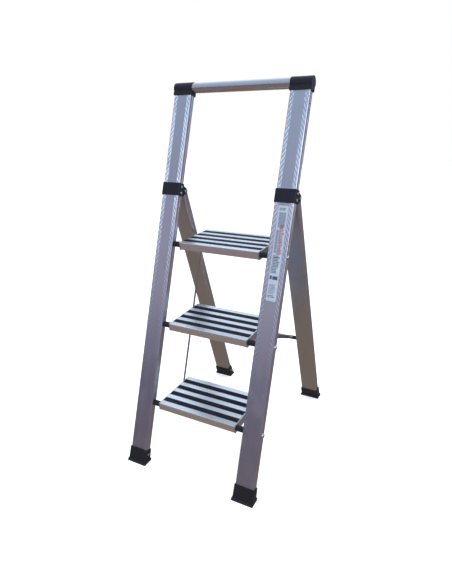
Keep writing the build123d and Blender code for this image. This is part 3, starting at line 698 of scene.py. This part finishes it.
def make_camera():
    studio = bpy.context.scene.step_stool.studio
    yaw, pitch, roll = studio.yaw, studio.pitch, studio.roll
    ahead = Vector((-sin(yaw) * cos(pitch), cos(yaw) * cos(pitch), sin(pitch)))
    level = Vector((cos(yaw), sin(yaw), 0))
    upright = level.cross(ahead)
    right = level * cos(roll) + upright * sin(roll)
    up = upright * cos(roll) - level * sin(roll)
    view = bpy.data.cameras.new("camera")
    view.lens = studio.lens
    view.clip_start = 0.05
    camera = bpy.data.objects.new("camera", view)
    bpy.context.collection.objects.link(camera)
    axes = Matrix((right, up, -ahead)).transposed().to_4x4()
    camera.matrix_world = Matrix.Translation(Vector(studio.camera)) @ axes
    bpy.context.scene.camera = camera


# ---- operators ------------------------------------------------------------------------------
class StoolOperator:
    """What every operator of the stool shares."""
    bl_options = {"REGISTER", "UNDO"}

    def execute(self, context):
        self.build()
        return {"FINISHED"}


class STOOL_OT_stage(StoolOperator, bpy.types.Operator):
    """Set up the pale floor, the soft light and the camera"""
    bl_idname = "stool.stage"
    bl_label = "Stage"

    def build(self):
        bpy.context.scene.view_settings.view_transform = "Standard"
        make_camera()
        make_sky()
        make_floor()
        area_light("key", place=(1.7, -1.9, 2.2), target=(0, 0, 0.6), side=(1.1, 1.1),
                   power=26.0, tint=(1.0, 0.98, 0.95))
        fill = area_light("overhead", place=(0.0, 0.3, 2.9), target=(0, 0, 0.5),
                          side=(2.2, 1.6), power=34.0, tint=(0.88, 0.94, 1.0))
        fill.visible_glossy = False


class STOOL_OT_stiles(StoolOperator, bpy.types.Operator):
    """Finish the two fluted front stiles"""
    bl_idname = "stool.stiles"
    bl_label = "Stiles"

    def build(self):
        dress(tube_finish("stile_anodised", FRONT_LEAN, 0.75, "right_stile"), *sided("stile"))


class STOOL_OT_rear_legs(StoolOperator, bpy.types.Operator):
    """Finish the two rear legs"""
    bl_idname = "stool.rear_legs"
    bl_label = "Rear legs"

    def build(self):
        dress(tube_finish("leg_anodised", REAR_LEAN, 0.15, "right_rear_leg"), *sided("rear_leg"))


class STOOL_OT_handrail(StoolOperator, bpy.types.Operator):
    """Finish the hand rail"""
    bl_idname = "stool.handrail"
    bl_label = "Hand rail"

    def build(self):
        dress(rail_finish(), "handrail")


class STOOL_OT_treads(StoolOperator, bpy.types.Operator):
    """Finish the three tread panels"""
    bl_idname = "stool.treads"
    bl_label = "Treads"

    def build(self):
        dress(tread_finish(), *[f"{step}_tread" for step in STEPS])


class STOOL_OT_end_plates(StoolOperator, bpy.types.Operator):
    """Finish the end plates of the treads"""
    bl_idname = "stool.end_plates"
    bl_label = "End plates"

    def build(self):
        dress(plate_finish(), *[f"{step}_{side}_end_plate" for step in STEPS for side in SIDES])


class STOOL_OT_mouldings(StoolOperator, bpy.types.Operator):
    """Finish the caps, brackets, plugs, collars and bushes"""
    bl_idname = "stool.mouldings"
    bl_label = "Mouldings"

    def build(self):
        dress(moulded_finish(), "crossbar_spacers", *sided("top_cap", "hinge_bracket", "leg_plug"),
              *[f"{step}_{piece}" for step in STEPS for piece in ("spacers", "bushes")])


class STOOL_OT_boots(StoolOperator, bpy.types.Operator):
    """Finish the four rubber boots"""
    bl_idname = "stool.boots"
    bl_label = "Boots"

    def build(self):
        dress(boot_finish(), *sided("front_foot", "rear_foot"))


class STOOL_OT_grip_strips(StoolOperator, bpy.types.Operator):
    """Finish the grip strips of the treads"""
    bl_idname = "stool.grip_strips"
    bl_label = "Grip strips"

    def build(self):
        dress(strip_finish(), *[f"{step}_grip_strips" for step in STEPS])


class STOOL_OT_fasteners(StoolOperator, bpy.types.Operator):
    """Finish the rivets, screws, pins, washers and axles"""
    bl_idname = "stool.fasteners"
    bl_label = "Fasteners"

    def build(self):
        bright = plated_finish("rivet_plated", colours().rivet, 0.24, 0.3)
        dress(bright, "axle_washers", "bracket_rivets", "front_foot_rivets", "rear_foot_rivets",
              "link_rod_pins", "brace_pins", "cap_screws", *sided("pivot_pin"),
              *[f"{step}_{piece}" for step in STEPS for piece in ("axle", "screws")])


class STOOL_OT_rods(StoolOperator, bpy.types.Operator):
    """Finish the link rods, the braces and the cross bar"""
    bl_idname = "stool.rods"
    bl_label = "Rods and braces"

    def build(self):
        dress(plated_finish("rod_zinc", colours().zinc, 0.36, 0.7), "crossbar",
              *sided("link_rod", "brace"))


class STOOL_OT_sticker(StoolOperator, bpy.types.Operator):
    """Lay the generic sticker in the panel of the right stile"""
    bl_idname = "stool.sticker"
    bl_label = "Sticker"

    def build(self):
        make_sticker()


OPERATORS = (STOOL_OT_stage, STOOL_OT_stiles, STOOL_OT_rear_legs, STOOL_OT_handrail,
             STOOL_OT_treads, STOOL_OT_end_plates, STOOL_OT_mouldings, STOOL_OT_boots,
             STOOL_OT_grip_strips, STOOL_OT_fasteners, STOOL_OT_rods, STOOL_OT_sticker)


class STOOL_PT_panel(bpy.types.Panel):
    """Lists the pieces of the stool"""
    bl_idname = "STOOL_PT_panel"
    bl_label = "Step Stool"
    bl_space_type = "VIEW_3D"
    bl_region_type = "UI"
    bl_category = "Step Stool"

    def draw(self, context):
        column = self.layout.column(align=True)
        for operator in OPERATORS:
            column.operator(operator.bl_idname)
        settings = context.scene.step_stool
        for group in (settings.colours, settings.sizes, settings.studio):
            box = self.layout.box()
            for name in group.__annotations__:
                box.prop(group, name)


CLASSES = (StoolColours, StoolSizes, StoolStudio, StoolSettings, *OPERATORS, STOOL_PT_panel)


def register():
    for cls in CLASSES:
        bpy.utils.register_class(cls)
    bpy.types.Scene.step_stool = PointerProperty(type=StoolSettings)


def unregister():
    del bpy.types.Scene.step_stool
    for cls in reversed(CLASSES):
        bpy.utils.unregister_class(cls)


def main():
    register()
    for operator in OPERATORS:
        group, name = operator.bl_idname.split(".")
        getattr(getattr(bpy.ops, group), name)()


if __name__ == "__main__":
    main()
